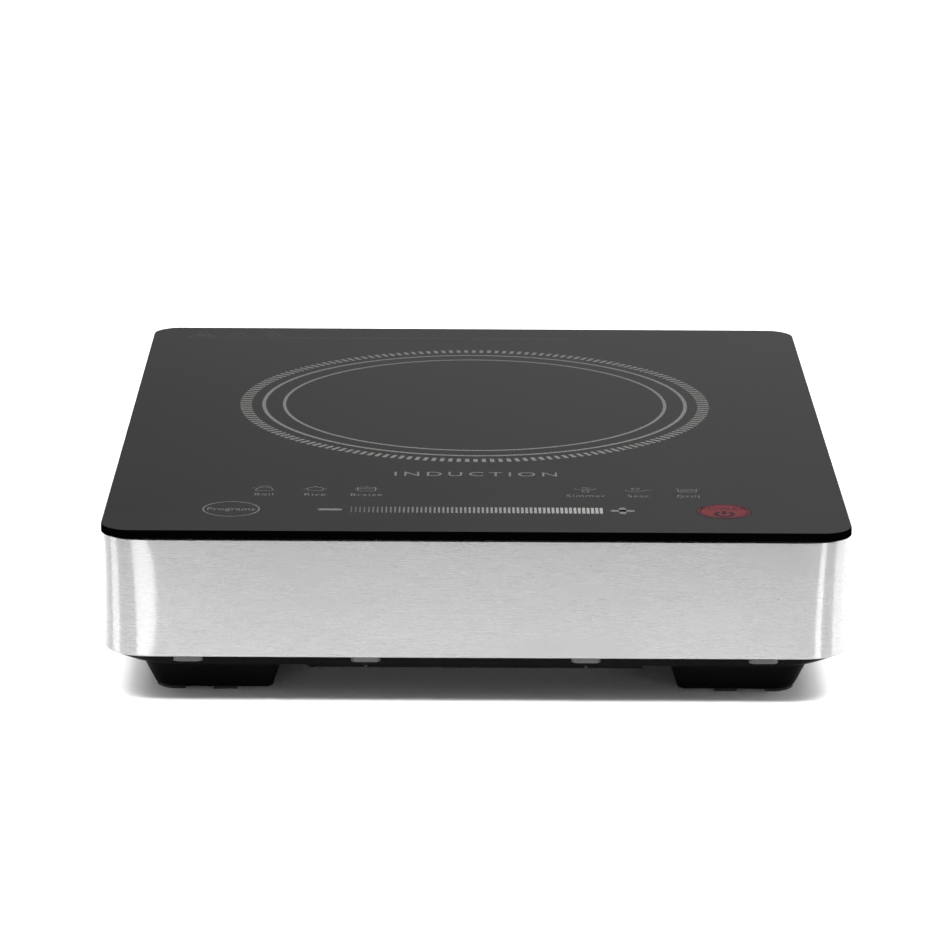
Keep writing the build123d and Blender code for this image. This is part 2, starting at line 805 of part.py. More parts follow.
def mains_terminals():
    low, high = mains_terminal_y - 0.4, mains_terminal_y + 0.4
    return group([block(x - 3.15, x + 3.15, low, high, board_top, board_top + 8) for x in mains_terminal_x])


def supply_transformer():
    x0, x1, y0, y1, height = supply_core_box
    core = block(x0, x1, y0, y1, board_top, board_top + height)
    windings = block(x0 + 3, x1 - 3, y0 - 2.5, y1 + 2.5, board_top + 3, board_top + height - 3)
    return core + windings


def supply_capacitors():
    return group(
        [rod(x, y, board_top, board_top + height, radius) for x, y, height, radius in supply_capacitor_list]
    )


def controller_chip():
    x0, x1, y0, y1 = chip_box
    top, leg_top, shoulder = board_top + 4, board_top + 2.4, board_top + 1.9
    body = block(x0, x1, y0, y1, board_top + 0.6, top)
    for i in range(chip_legs):
        x = x0 + 2 + chip_leg_pitch * i
        front, back = y0 - 1.2, y1 + 1.2
        body += block(x - 0.3, x + 0.3, front, front + 0.6, board_top, leg_top)
        body += block(x - 0.3, x + 0.3, back - 0.6, back, board_top, leg_top)
        body += block(x - 0.3, x + 0.3, front, y0 + 0.1, shoulder, leg_top)
        body += block(x - 0.3, x + 0.3, y1 - 0.1, back, shoulder, leg_top)
    return body


def buzzer():
    x, y = buzzer_place
    case = rod(x, y, board_top, board_top + buzzer_height, 6)
    return case - rod(x, y, board_top + buzzer_height - 1.5, board_top + buzzer_height + 1, 1.2)


def coil_terminals():
    low, high = coil_terminal_y
    return group([block(x - 4, x + 4, low, high, board_top, board_top + 8) for x in coil_terminal_x])


def lead(points, radii, radius):
    """A round lead along straight runs joined by tangent arcs."""
    path = FilletPolyline(*points, radius=radii)
    return sweep(Plane(path @ 0, z_dir=path % 0) * Circle(radius), path)


def coil_leads():
    """The winding's outer end, and its inner end that comes out under the carrier."""
    foot_z = board_top + 8
    angle = math.radians(250)
    out = coil_inner_radius + (coil_turns - 1) * coil_pitch + litz_radius + 1.6
    start = (out * math.cos(angle), zone_y + out * math.sin(angle), litz_level)
    first, second = coil_terminal_x
    y = sum(coil_terminal_y) / 2
    outer = lead([start, (first, y, litz_level), (first, y, foot_z)], 8, lead_radius)
    under = carrier_bottom - 2.1
    inner = lead([(-6.0, 15.0, under), (second, y, under), (second, y, foot_z)], 12, lead_radius)
    return group([outer, inner])


# ---- Touch controls ----------------------------------------------------------------------
def key_places():
    """Where the sensing pads stand: four keys, the slider's pads and the six program keys."""
    step = 2 * slider_half_length / (slider_pads - 1)
    places = [(x, key_y) for x in (function_key_x, -66.2, plus_key_x, power_key_x)]
    places += [(-slider_half_length + i * step, key_y) for i in range(slider_pads)]
    return places + [(x, icon_y) for x in icon_x]


def touch_board():
    board = block(-touch_board_x, touch_board_x, *touch_board_y, touch_board_z, touch_board_top)
    for x, y in bracket_posts:
        board -= rod(x, y, touch_board_z - 1, touch_board_top + 1, board_hole_radius)
    return board


def touch_pads():
    """Conductive foam pads that carry the sensing field from the board up to the glass."""
    return group([rod(x, y, touch_board_top, glass_bottom - 0.1, 4.0) for x, y in key_places()])


def touch_board_bracket():
    """The tray that carries the touch board on the pan's front posts."""
    low, high = touch_board_z - bracket_height, touch_board_z
    tray = block(-124, 124, -181, -124, low, low + bracket_sheet)
    tray -= block(-68, 68, -170, -136, low - 1, high)
    for x in (-97, 97):
        tray -= block(x - 16, x + 16, -170, -136, low - 1, high)
    for x, y in bracket_posts:
        tray += rod(x, y, low, high, 4.5)
    for x in (-120, 120):
        for y in (-177, -128):
            tray += rod(x, y, low, high, 3.0)
    for x, y in bracket_posts:
        tray -= rod(x, y, low - 1, high + 1, board_hole_radius)
    return tray


def touch_board_screws():
    return group([screw(x, y, touch_board_top, 12, 1.2, 2.8, 1.8) for x, y in bracket_posts])


def indicator_leds():
    """One small lamp beside each program key and two at the power key."""
    places = [(x, icon_y - led_offset) for x in icon_x]
    places += [(x, key_y - led_offset) for x in (power_key_x - 8, power_key_x + 8)]
    length, width, height = led_size
    lamp = Pos(0, 0, touch_board_top + height / 2) * Box(length, width, height)
    return group([Pos(x, y, 0) * lamp for x, y in places])


def board_connectors():
    """The two sockets that the ribbon cable plugs into."""
    left, right = cable_x[0] - 2, cable_x[1] + 2
    y = cable_high_y
    upper = block(left, right, y - 2.25, y + 2.25, touch_board_z - 5, touch_board_z)
    y = cable_low_y
    lower = block(left, right, y - 2.25, y + 2.25, board_top, board_top + 6)
    return group([upper, lower])


def ribbon_cable():
    low, high = board_top + 6.45, touch_board_z - 5.45
    rise = [(cable_low_y, low), (cable_low_y, low + 6), (cable_high_y, high - 12), (cable_high_y, high)]
    line = Polyline(*rise)
    face = make_face(offset(line, cable_thickness / 2, side=Side.BOTH))
    return Pos(cable_x[0], 0, 0) * extrude(Plane.YZ * face, cable_x[1] - cable_x[0])


# ---- Write every piece -------------------------------------------------------------------
pieces = [
    glass_top,
    glass_gasket,
    steel_band,
    band_seam_strip,
    base_pan,
    foot_pads,
    flange_spacers,
    case_screws,
    cord_bushing,
    earth_terminal,
    mica_sheet,
    litz_coil,
    ferrite_bars,
    coil_carrier,
    sensor_holder,
    temperature_sensor,
    coil_springs,
    coil_screws,
    coil_leads,
    fan_frame,
    fan_bearing,
    fan_stator,
    fan_shaft,
    fan_magnet,
    fan_rotor,
    fan_screws,
    air_guide,
    power_board,
    board_screws,
    heat_sink,
    igbt_transistors,
    bridge_rectifier,
    resonance_capacitor,
    filter_capacitor,
    mains_capacitor,
    current_transformer,
    choke_core,
    choke_winding,
    varistor,
    mains_fuse,
    fuse_clips,
    mains_terminals,
    supply_transformer,
    supply_capacitors,
    controller_chip,
    buzzer,
    coil_terminals,
    touch_board,
    touch_pads,
    touch_board_bracket,
    touch_board_screws,
    indicator_leds,
    board_connectors,
    ribbon_cable,
]

os.makedirs("parts", exist_ok=True)
for make in pieces:
    export_step(make(), f"parts/{make.__name__}.step")
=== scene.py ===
import math
import random

import bmesh
import bpy
from mathutils import Euler, Matrix, Vector


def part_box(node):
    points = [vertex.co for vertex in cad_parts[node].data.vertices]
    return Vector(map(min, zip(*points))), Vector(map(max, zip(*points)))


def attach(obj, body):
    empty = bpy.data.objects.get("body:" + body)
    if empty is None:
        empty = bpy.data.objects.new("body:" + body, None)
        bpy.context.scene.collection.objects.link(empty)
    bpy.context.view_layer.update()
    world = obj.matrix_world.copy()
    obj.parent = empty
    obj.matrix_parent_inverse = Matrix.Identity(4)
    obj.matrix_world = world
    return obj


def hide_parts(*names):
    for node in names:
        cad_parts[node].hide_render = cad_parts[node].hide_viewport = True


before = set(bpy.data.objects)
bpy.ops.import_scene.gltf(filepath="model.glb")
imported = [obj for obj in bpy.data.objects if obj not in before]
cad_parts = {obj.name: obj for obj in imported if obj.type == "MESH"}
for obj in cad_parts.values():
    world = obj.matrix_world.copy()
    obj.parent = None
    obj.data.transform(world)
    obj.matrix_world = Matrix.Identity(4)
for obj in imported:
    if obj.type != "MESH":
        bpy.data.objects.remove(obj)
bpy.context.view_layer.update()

# ---- Sizes, in metres --------------------------------------------------------------------
MM = 0.001

glass_low, glass_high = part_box("glass_top")
band_low, band_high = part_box("steel_band")
coil_low, coil_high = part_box("litz_coil")
pads_low, pads_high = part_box("touch_pads")

# The printed enamel is a thin layer, and the glass is that much lower than its CAD box.
enamel = 0.03 * MM
glass_surface = glass_high.z - enamel
glass_radius = 14 * MM
glass_arris = 0.35 * MM

# The band's corner bends gently, then tightly, then gently again, by these degrees. The sheet
# bends a little tighter near its stiff folded edges: share of the height, gentle and tight radius.
band_turns = (11, 68, 11)
band_bends = (
    (0.0, 40 * MM, 18.8 * MM),
    (0.12, 50 * MM, 18.6 * MM),
    (0.3, 58 * MM, 18.2 * MM),
    (0.6, 61 * MM, 17.3 * MM),
    (0.82, 58 * MM, 16.6 * MM),
    (0.93, 50 * MM, 16.0 * MM),
    (1.0, 44 * MM, 15.8 * MM),
)
wall_levels = 14
band_lower_roll = 0.9 * MM
band_upper_roll = 0.35 * MM
band_inner_roll = 0.1 * MM
band_sheet = 0.8 * MM
band_top_flange = 14 * MM
band_bottom_flange = 15 * MM
vent_slots = 12
vent_pitch = 7 * MM
vent_slot_size = (3 * MM, 26 * MM)
vent_height = 50 * MM
vent_field_centre = 50 * MM
bushing_hole_radius = 7 * MM

zone = Vector(((coil_low.x + coil_high.x) / 2, (coil_low.y + coil_high.y) / 2))
ring_radii = (95.1 * MM, 105.3 * MM)
ring_widths = (1.6 * MM, 1.8 * MM)
tick_ring = (111.4 * MM, 117.2 * MM)
tick_count = 180

pad_radius = 4 * MM
key_row = pads_low.y + pad_radius
program_row = pads_high.y - pad_radius
function_key = Vector((pads_low.x + pad_radius, key_row))
power_key = Vector((pads_high.x - pad_radius, key_row))
key_radius = 12.8 * MM
slider_half = 57.2 * MM
slider_ticks = 58
slider_tick_length = 10 * MM
slider_tick_widths = (0.6 * MM, 1.4 * MM)
sign_x = 67 * MM
sign_length = 11.4 * MM
sign_width = 3.2 * MM
program_x = [-98.3 * MM, -74.7 * MM, -50.9 * MM, 50.9 * MM, 75.2 * MM, 98.3 * MM]
program_words = ["Boil", "Rice", "Braise", "Simmer", "Sear", "Grill"]
label_drop = 9.2 * MM
centre_word_y = -102.5 * MM
power_word_rise = 4.6 * MM
power_sign_drop = 5.0 * MM
# Lettering: capital height, letter spacing and sideways stretch.
label_style = (4.42 * MM, 1.15, 0.84)
function_style = (5.0 * MM, 1.05, 0.78)
centre_style = (7.4 * MM, 1.35, 1.05)
power_style = (4.4 * MM, 1.15, 0.9)
icon_pen = 0.55 * MM
icon_rise = 1.0 * MM
key_ring_width = 0.7 * MM
caution_x = [-143.8 * MM, -125.6 * MM, -107.3 * MM]
caution_y = glass_high.y - 18 * MM
caution_size = 15 * MM
caution_pen = 0.7 * MM
caution_sign_pen = 1.1 * MM
small_print_start = caution_x[-1] + 11 * MM
small_print_end = 51 * MM
small_print_y = caution_y - 6.2 * MM
small_print_pen = 1.3 * MM

# Studio: where each soft box stands, its size and its power. The side box has a twin on the left.
overhead_box = ((0, 1.4, 2.4), (5.0, 4.6), 148)
front_box = ((0, -0.3, 0.45), (0.8, 0.15), 5.2)
side_box = ((1.3, -0.1, 1.4), (1.2, 1.3), 22)
floor_radius = 9.0
# World: tone of the sky at three heights, and a soft glow round one direction.
sky_tones = ((0.0, 0.03), (0.35, 0.07), (1.0, 0.4))
glow_direction = (0.105, 0.995, -0.05)
glow_edge = 0.899
glow_level = 0.29
# Strip lights near the floor: name, side of the case, azimuth, width, radiance.
bar_height = 0.22
bar_distance = 0.9
low_bars = [
    ("left_front_bar", -1, -15, 0.31, 10.4),
    ("left_bar", -1, -90, 0.45, 9.0),
    ("right_front_bar", 1, 34, 0.22, 10.4),
    ("right_bar", 1, 108, 1.04, 9.0),
]

# Camera: focal length in mm on a 36 mm sensor, place (its height is above the glass), and its dip,
# turn and roll in degrees.
camera_lens = 176.85
camera_place = (-0.0119, -2.2084, 0.55)
camera_dip = 14.587
camera_turn = -0.25
camera_roll = 0.356


# ---- Material helpers --------------------------------------------------------------------
class Surface:
    """A Principled material that is built up node by node."""

    def __init__(self, name, colour, roughness, metallic=0.0, specular=0.5):
        self.material = bpy.data.materials.new(name)
        self.material.use_nodes = True
        self.tree = self.material.node_tree
        self.shader = self.tree.nodes["Principled BSDF"]
        self.set("Base Color", (*colour, 1.0))
        self.set("Roughness", roughness)
        self.set("Metallic", metallic)
        self.set("Specular IOR Level", specular)
        self.place = self.node("ShaderNodeTexCoord").outputs["Object"]

    def set(self, socket, value):
        self.shader.inputs[socket].default_value = value

    def node(self, kind, **inputs):
        made = self.tree.nodes.new(kind)
        for name, value in inputs.items():
            socket = made.inputs[name.replace("_", " ")]
            if isinstance(value, bpy.types.NodeSocket):
                self.tree.links.new(value, socket)
            else:
                socket.default_value = value
        return made

    def link(self, output, socket):
        self.tree.links.new(output, self.shader.inputs[socket])

    def stretched(self, scale):
        """Object coordinates, each axis multiplied by its own scale."""
        return self.node("ShaderNodeMapping", Vector=self.place, Scale=scale).outputs["Vector"]

    def noise(self, scale, detail=3.0, stretch=(1, 1, 1), roughness=0.5):
        where = self.stretched(stretch)
        return self.node(
            "ShaderNodeTexNoise", Vector=where, Scale=scale, Detail=detail, Roughness=roughness
        ).outputs["Fac"]

    def cells(self, scale, feature="F1", stretch=(1, 1, 1)):
        made = self.node("ShaderNodeTexVoronoi", Vector=self.stretched(stretch), Scale=scale)
        made.feature = feature
        return made

    def between(self, value, low, high, out_low=0.0, out_high=1.0):
        """Maps a value from one range to another, clamped."""
        made = self.node("ShaderNodeMapRange", Value=value)
        limits = {"From Min": low, "From Max": high, "To Min": out_low, "To Max": out_high}
        for name, number in limits.items():
            made.inputs[name].default_value = number
        return made.outputs["Result"]

    def blend(self, factor, first, second):
        """A colour between two others."""
        made = self.node("ShaderNodeMix")
        made.data_type = "RGBA"
        self.tree.links.new(factor, made.inputs["Factor"])
        for slot, value in ((6, first), (7, second)):
            if isinstance(value, bpy.types.NodeSocket):
                self.tree.links.new(value, made.inputs[slot])
            else:
                made.inputs[slot].default_value = (*value, 1.0)
        return made.outputs[2]

    def scaled(self, colour, factor):
        """A colour multiplied by a number, both of them outputs of other nodes."""
        made = self.node("ShaderNodeVectorMath")
        made.operation = "SCALE"
        self.tree.links.new(colour, made.inputs["Vector"])
        self.tree.links.new(factor, made.inputs["Scale"])
        return made.outputs["Vector"]

    def math(self, operation, first, second=0.0):
        made = self.tree.nodes.new("ShaderNodeMath")
        made.operation = operation
        for slot, value in enumerate((first, second)):
            if isinstance(value, bpy.types.NodeSocket):
                self.tree.links.new(value, made.inputs[slot])
            else:
                made.inputs[slot].default_value = value
        return made.outputs["Value"]

    def bump(self, height, depth, strength=1.0):
        """Raises the surface by up to depth metres where height is 1."""
        made = self.node("ShaderNodeBump", Strength=strength, Distance=depth, Height=height)
        self.link(made.outputs["Normal"], "Normal")


def shade(colour, factor):
    return tuple(channel * factor for channel in colour)


# ---- Outside materials -------------------------------------------------------------------
def black_glass():
    """Polished black ceramic glass with the faintest dust and wiping marks."""
    surface = Surface("black_glass", (0.006, 0.006, 0.0065), 0.13)
    haze = surface.noise(9, detail=5, stretch=(1, 0.6, 1))
    speckle = surface.noise(2600, detail=2)
    surface.link(surface.between(haze, 0.35, 0.7, 0.15, 0.21), "Roughness")
    tone = surface.between(speckle, 0.35, 0.75)
    surface.link(surface.blend(tone, (0.0015, 0.0015, 0.0018), (0.003, 0.003, 0.0034)), "Base Color")
    return surface.material


def ground_glass_edge():
    """The glass's ground and sealed edge. It is set nearly black, with no specular part."""
    surface = Surface("ground_glass_edge", (0.0004, 0.0004, 0.0004), 0.42, specular=0.0)
    grain = surface.noise(1800, detail=3, stretch=(1, 1, 3))
    surface.link(surface.between(grain, 0.3, 0.7, 0.36, 0.5), "Roughness")
    surface.bump(grain, 0.01 * MM)
    return surface.material


def enamel_print(name, colour, wear=0.16, roughness=0.22, specular=0.5):
    """Ceramic ink fired on the glass: a little duller than the glass, with a fine dot grain."""
    surface = Surface(name, colour, roughness, specular=specular)
    grain = surface.noise(1500, detail=2)
    tone = surface.between(grain, 0.3, 0.7)
    surface.link(surface.blend(tone, shade(colour, 1 - wear), shade(colour, 1 + wear)), "Base Color")
    surface.link(surface.between(grain, 0.3, 0.7, roughness - 0.03, roughness + 0.04), "Roughness")
    return surface.material


def slider_print():
    """The slider's ink, which gets paler from the low end to the high end."""
    surface = Surface("slider_print", (0.1, 0.1, 0.1), 0.2)
    across = surface.node("ShaderNodeSeparateXYZ", Vector=surface.place).outputs["X"]
    along = surface.between(across, -slider_half, slider_half)
    grain = surface.between(surface.noise(1500, detail=2), 0.3, 0.7, 0.85, 1.15)
    tone = surface.blend(along, (0.03, 0.03, 0.029), (0.13, 0.13, 0.125))
    surface.link(surface.scaled(tone, grain), "Base Color")
    return surface.material


def brushed_steel():
    """Stainless sheet brushed round the case: long level scratches of several lengths.

    The base colour is set darker than real stainless steel. It also darkens from the
    bottom edge to the top, because the studio lights alone shade the band too little.
    """
    surface = Surface("brushed_steel", (0.305, 0.305, 0.305), 0.27, metallic=1.0)
    long_lines = surface.noise(1.0, detail=3, stretch=(75, 75, 2100), roughness=0.6)
    short_lines = surface.noise(1.0, detail=2, stretch=(200, 200, 3600), roughness=0.6)
    patches = surface.noise(14, detail=3, stretch=(1, 1, 2.5))
    long_share = surface.math("MULTIPLY", long_lines, 0.55)
    short_share = surface.math("MULTIPLY", short_lines, 0.45)
    lines = surface.math("ADD", long_share, short_share)
    tone = surface.between(lines, 0.38, 0.62)
    colour = surface.blend(tone, (0.262, 0.262, 0.262), (0.276, 0.276, 0.276))
    height = surface.node("ShaderNodeSeparateXYZ", Vector=surface.place).outputs["Z"]
    upward = surface.between(height, band_low.z, band_high.z, 1.03, 0.87)
    surface.link(surface.scaled(colour, upward), "Base Color")
    line_blur = surface.between(lines, 0.35, 0.65, 0.255, 0.29)
    patch_blur = surface.between(patches, 0.3, 0.7, -0.01, 0.02)
    surface.link(surface.math("ADD", line_blur, patch_blur), "Roughness")
    surface.set("Anisotropic", 1.0)
    surface.set("Anisotropic Rotation", 0.25)
    tangent = surface.node("ShaderNodeTangent")
    tangent.direction_type = "RADIAL"
    tangent.axis = "Z"
    surface.link(tangent.outputs["Tangent"], "Tangent")
    surface.bump(lines, 0.0015 * MM, strength=0.4)
    return surface.material


def moulded_plastic(name, colour, roughness=0.5, grain_depth=0.02, specular=0.42):
    """Injection-moulded plastic with a spark-eroded grain and slight flow shading."""
    surface = Surface(name, colour, roughness, specular=specular)
    grain = surface.noise(2200, detail=3)
    flow = surface.noise(24, detail=4)
    tone = surface.between(flow, 0.3, 0.7)
    surface.link(surface.blend(tone, shade(colour, 0.82), shade(colour, 1.22)), "Base Color")
    surface.link(surface.between(grain, 0.3, 0.7, roughness - 0.06, roughness + 0.1), "Roughness")
    surface.bump(grain, grain_depth * MM, strength=0.6)
    return surface.material


def rubber(name, colour, roughness=0.75):
    """Soft rubber with a dusty bloom."""
    surface = Surface(name, colour, roughness, specular=0.3)
    dust = surface.noise(90, detail=6, roughness=0.7)
    surface.link(surface.blend(surface.between(dust, 0.45, 0.75), colour, shade(colour, 1.9)), "Base Color")
    surface.link(surface.between(dust, 0.3, 0.7, roughness - 0.08, roughness + 0.1), "Roughness")
    surface.bump(surface.noise(1400, detail=4), 0.03 * MM, strength=0.5)
    return surface.material


def plated_steel():
    """Zinc-plated screws and springs, a little cloudy."""
    surface = Surface("plated_steel", (0.62, 0.62, 0.6), 0.32, metallic=1.0)
    cloud = surface.noise(320, detail=4)
    tone = surface.between(cloud, 0.3, 0.7)
    surface.link(surface.blend(tone, (0.5, 0.5, 0.49), (0.72, 0.72, 0.7)), "Base Color")
    surface.link(surface.between(cloud, 0.3, 0.7, 0.24, 0.42), "Roughness")
    surface.bump(surface.noise(2500, detail=2), 0.01 * MM, strength=0.4)
    return surface.material


# ---- Inside materials --------------------------------------------------------------------
def metal(name, colour, roughness, stretch, scale=1.0):
    """Bare metal with drawing or rolling lines along its least stretched axis."""
    surface = Surface(name, colour, roughness, metallic=1.0)
    lines = surface.noise(scale, detail=4, stretch=stretch)
    tone = surface.between(lines, 0.3, 0.7)
    surface.link(surface.blend(tone, shade(colour, 0.78), shade(colour, 1.15)), "Base Color")
    surface.link(surface.between(lines, 0.3, 0.7, roughness - 0.08, roughness + 0.12), "Roughness")
    surface.bump(lines, 0.02 * MM, strength=0.5)
    return surface.material


def litz_copper():
    """Enamelled copper strands, twisted, so that fine slanting lines cross each turn."""
    surface = Surface("litz_copper", (0.62, 0.24, 0.1), 0.34, metallic=1.0)
    strands = surface.noise(1.0, detail=2, stretch=(2600, 2600, 900))
    tone = surface.between(strands, 0.35, 0.65)
    surface.link(surface.blend(tone, (0.36, 0.12, 0.045), (0.8, 0.36, 0.16)), "Base Color")
    surface.link(surface.between(strands, 0.35, 0.65, 0.26, 0.46), "Roughness")
    surface.bump(strands, 0.12 * MM, strength=0.7)
    return surface.material


def sintered(name, colour):
    """Sintered ferrite or bronze: a dark speckled body with pores."""
    surface = Surface(name, colour, 0.55, specular=0.4)
    pores = surface.cells(1600).outputs["Distance"]
    tone = surface.between(pores, 0.05, 0.6)
    surface.link(surface.blend(tone, shade(colour, 0.5), shade(colour, 1.3)), "Base Color")
    surface.link(surface.between(pores, 0.0, 0.6, 0.7, 0.48), "Roughness")
    surface.bump(pores, 0.03 * MM, strength=0.5)
    return surface.material


def mica():
    """Pressed mica flakes, pearly and layered."""
    surface = Surface("mica", (0.55, 0.47, 0.33), 0.42, specular=0.6)
    flakes = surface.cells(260).outputs["Color"]
    shine = surface.node("ShaderNodeSeparateColor", Color=flakes).outputs["Red"]
    surface.link(surface.blend(shine, (0.4, 0.33, 0.22), (0.68, 0.6, 0.45)), "Base Color")
    surface.link(surface.between(shine, 0.0, 1.0, 0.3, 0.6), "Roughness")
    surface.bump(shine, 0.03 * MM, strength=0.5)
    return surface.material


def circuit_board():
    """Green solder mask over copper tracks, with tinned pads."""
    surface = Surface("circuit_board", (0.02, 0.13, 0.05), 0.35)
    tracks = surface.node("ShaderNodeTexBrick", Vector=surface.place, Scale=70.0)
    tracks.inputs["Mortar Size"].default_value = 0.06
    tracks.inputs["Mortar Smooth"].default_value = 0.1
    pads = surface.between(surface.cells(230).outputs["Distance"], 0.16, 0.2, 1.0, 0.0)
    mask = surface.blend(tracks.outputs["Fac"], (0.015, 0.1, 0.04), (0.035, 0.2, 0.07))
    surface.link(surface.blend(pads, mask, (0.62, 0.6, 0.55)), "Base Color")
    surface.link(surface.between(pads, 0.0, 1.0, 0.36, 0.25), "Roughness")
    surface.bump(surface.math("ADD", tracks.outputs["Fac"], pads), 0.03 * MM, strength=0.6)
    return surface.material


def moulded_case(name, colour, roughness=0.3):
    """A glossy dipped or potted component case, with slight sinks and dust."""
    surface = Surface(name, colour, roughness)
    sinks = surface.noise(120, detail=3)
    tone = surface.between(sinks, 0.3, 0.7)
    surface.link(surface.blend(tone, shade(colour, 0.8), shade(colour, 1.15)), "Base Color")
    surface.link(surface.between(sinks, 0.3, 0.7, roughness - 0.06, roughness + 0.12), "Roughness")
    surface.bump(sinks, 0.08 * MM, strength=0.4)
    return surface.material


def clear_tube():
    """The fuse's glass, with a faint frosting where it was drawn."""
    surface = Surface("clear_tube", (0.9, 0.93, 0.92), 0.06)
    surface.set("Transmission Weight", 0.85)
    draw = surface.noise(1.0, detail=2, stretch=(40, 900, 900))
    surface.link(surface.between(draw, 0.3, 0.7, 0.03, 0.16), "Roughness")
    tone = surface.between(draw, 0.3, 0.7)
    surface.link(surface.blend(tone, (0.82, 0.88, 0.86), (0.95, 0.97, 0.96)), "Base Color")
    return surface.material


def ribbed_ribbon():
    """A flat ribbon cable: parallel insulated wires side by side along X."""
    surface = Surface("ribbed_ribbon", (0.4, 0.4, 0.42), 0.5)
    wires = surface.node("ShaderNodeTexWave", Vector=surface.place, Scale=250.0)
    wires.bands_direction = "X"
    ridge = wires.outputs["Fac"]
    surface.link(surface.blend(ridge, (0.22, 0.22, 0.24), (0.5, 0.5, 0.52)), "Base Color")
    surface.link(surface.between(ridge, 0.0, 1.0, 0.6, 0.42), "Roughness")
    surface.bump(ridge, 0.2 * MM, strength=0.6)
    return surface.material


def sensing_foam():
    """Open-cell conductive foam."""
    surface = Surface("sensing_foam", (0.03, 0.03, 0.032), 0.9, specular=0.2)
    cells = surface.cells(1100).outputs["Distance"]
    tone = surface.between(cells, 0.1, 0.6)
    surface.link(surface.blend(tone, (0.008, 0.008, 0.009), (0.07, 0.07, 0.075)), "Base Color")
    surface.link(surface.between(cells, 0.0, 0.6, 0.98, 0.8), "Roughness")
    surface.bump(cells, 0.3 * MM, strength=0.8)
    return surface.material


def dress_cad_nodes():
    """Gives every CAD node its material."""
    nylon = moulded_plastic("black_nylon", (0.014, 0.014, 0.0145), 0.45)
    plated = plated_steel()
    bare_steel = metal("rolled_steel", (0.56, 0.56, 0.57), 0.36, (40, 40, 900))
    copper = litz_copper()
    ferrite = sintered("ferrite", (0.05, 0.05, 0.054))
    carrier = moulded_plastic("carrier_plastic", (0.62, 0.59, 0.52), 0.55)
    board = circuit_board()
    epoxy = moulded_plastic("package_epoxy", (0.02, 0.02, 0.021), 0.58)
    case = moulded_case("capacitor_case", (0.5, 0.09, 0.03))
    tinned = metal("tinned_brass", (0.72, 0.68, 0.56), 0.34, (300, 300, 300))
    silicone = rubber("silicone", (0.05, 0.05, 0.05), 0.62)
    # The pan's plastic is set much darker and duller than the other black plastic.
    table = {
        black_glass(): ["glass_top"],
        silicone: ["glass_gasket", "sensor_holder"],
        brushed_steel(): ["steel_band"],
        bare_steel: ["band_seam_strip"],
        moulded_plastic("pan_plastic", (0.0022, 0.0022, 0.0023), 0.46, specular=0.015): ["base_pan"],
        moulded_plastic("grey_nylon", (0.03, 0.03, 0.031), 0.5): ["flange_spacers"],
        rubber("foot_rubber", (0.006, 0.006, 0.006)): ["foot_pads"],
        plated: [
            "case_screws", "coil_screws", "fan_screws", "board_screws", "touch_board_screws",
            "fan_shaft", "coil_springs", "earth_terminal",
        ],
        nylon: ["cord_bushing", "fan_frame", "fan_rotor"],
        mica(): ["mica_sheet"],
        copper: ["litz_coil", "choke_winding", "fan_stator"],
        rubber("lead_sleeve", (0.55, 0.5, 0.42), 0.6): ["coil_leads"],
        ferrite: ["ferrite_bars", "choke_core", "fan_magnet"],
        carrier: ["coil_carrier", "air_guide", "touch_board_bracket"],
        moulded_case("sensor_ceramic", (0.75, 0.75, 0.7)): ["temperature_sensor"],
        metal("sintered_bronze", (0.52, 0.34, 0.15), 0.5, (700, 700, 700)): ["fan_bearing"],
        board: ["power_board", "touch_board"],
        metal("extruded_alloy", (0.72, 0.72, 0.73), 0.38, (900, 25, 900)): ["heat_sink"],
        epoxy: ["igbt_transistors", "bridge_rectifier", "controller_chip", "buzzer", "current_transformer"],
        case: [
            "resonance_capacitor", "filter_capacitor", "mains_capacitor", "supply_capacitors",
            "varistor",
        ],
        moulded_case("transformer_tape", (0.62, 0.42, 0.04)): ["supply_transformer"],
        clear_tube(): ["mains_fuse"],
        tinned: ["fuse_clips", "mains_terminals", "coil_terminals"],
        sensing_foam(): ["touch_pads"],
        moulded_case("led_lens", (0.8, 0.8, 0.74), 0.2): ["indicator_leds"],
        moulded_plastic("connector_nylon", (0.75, 0.73, 0.68), 0.5): ["board_connectors"],
        ribbed_ribbon(): ["ribbon_cable"],
    }
    for material, names in table.items():
        for name in names:
            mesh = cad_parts[name].data
            mesh.materials.clear()
            mesh.materials.append(material)


# ---- Mesh helpers ------------------------------------------------------------------------
def arc_corner(radii, turns, steps):
    """A quarter turn made of tangent arcs, from +X to +Y, with its bounding corner at the origin."""
    points = [Vector((0.0, 0.0))]
    heading = 0.0
    for radius, turn in zip(radii, turns):
        for _ in range(steps):
            step = math.radians(turn) / steps
            middle = heading + step / 2
            length = 2 * radius * math.sin(step / 2)
            points.append(points[-1] + Vector((-math.sin(middle), math.cos(middle))) * length)
            heading += step
    end = points[-1]
    return [(p.x, p.y - end.y) for p in points]


def round_corner(radius, steps=24):
    """A plain quarter circle, with its bounding corner at the origin."""
    return arc_corner([radius], [90], steps)


def outline(low, high, inset, corner):
    """A rectangle between two corners with shaped corners, counter-clockwise from the right rear."""
    half_x, half_y = (high.x - low.x) / 2 - inset, (high.y - low.y) / 2 - inset
    middle = Vector(((high.x + low.x) / 2, (high.y + low.y) / 2))
    flipped = corner[::-1]
    points = []
    quarters = ((1, 1, corner), (-1, 1, flipped), (-1, -1, corner), (1, -1, flipped))
    for side_x, side_y, quarter in quarters:
        for x, y in quarter:
            points.append((middle.x + side_x * (half_x + x), middle.y + side_y * (half_y + y)))
    return points


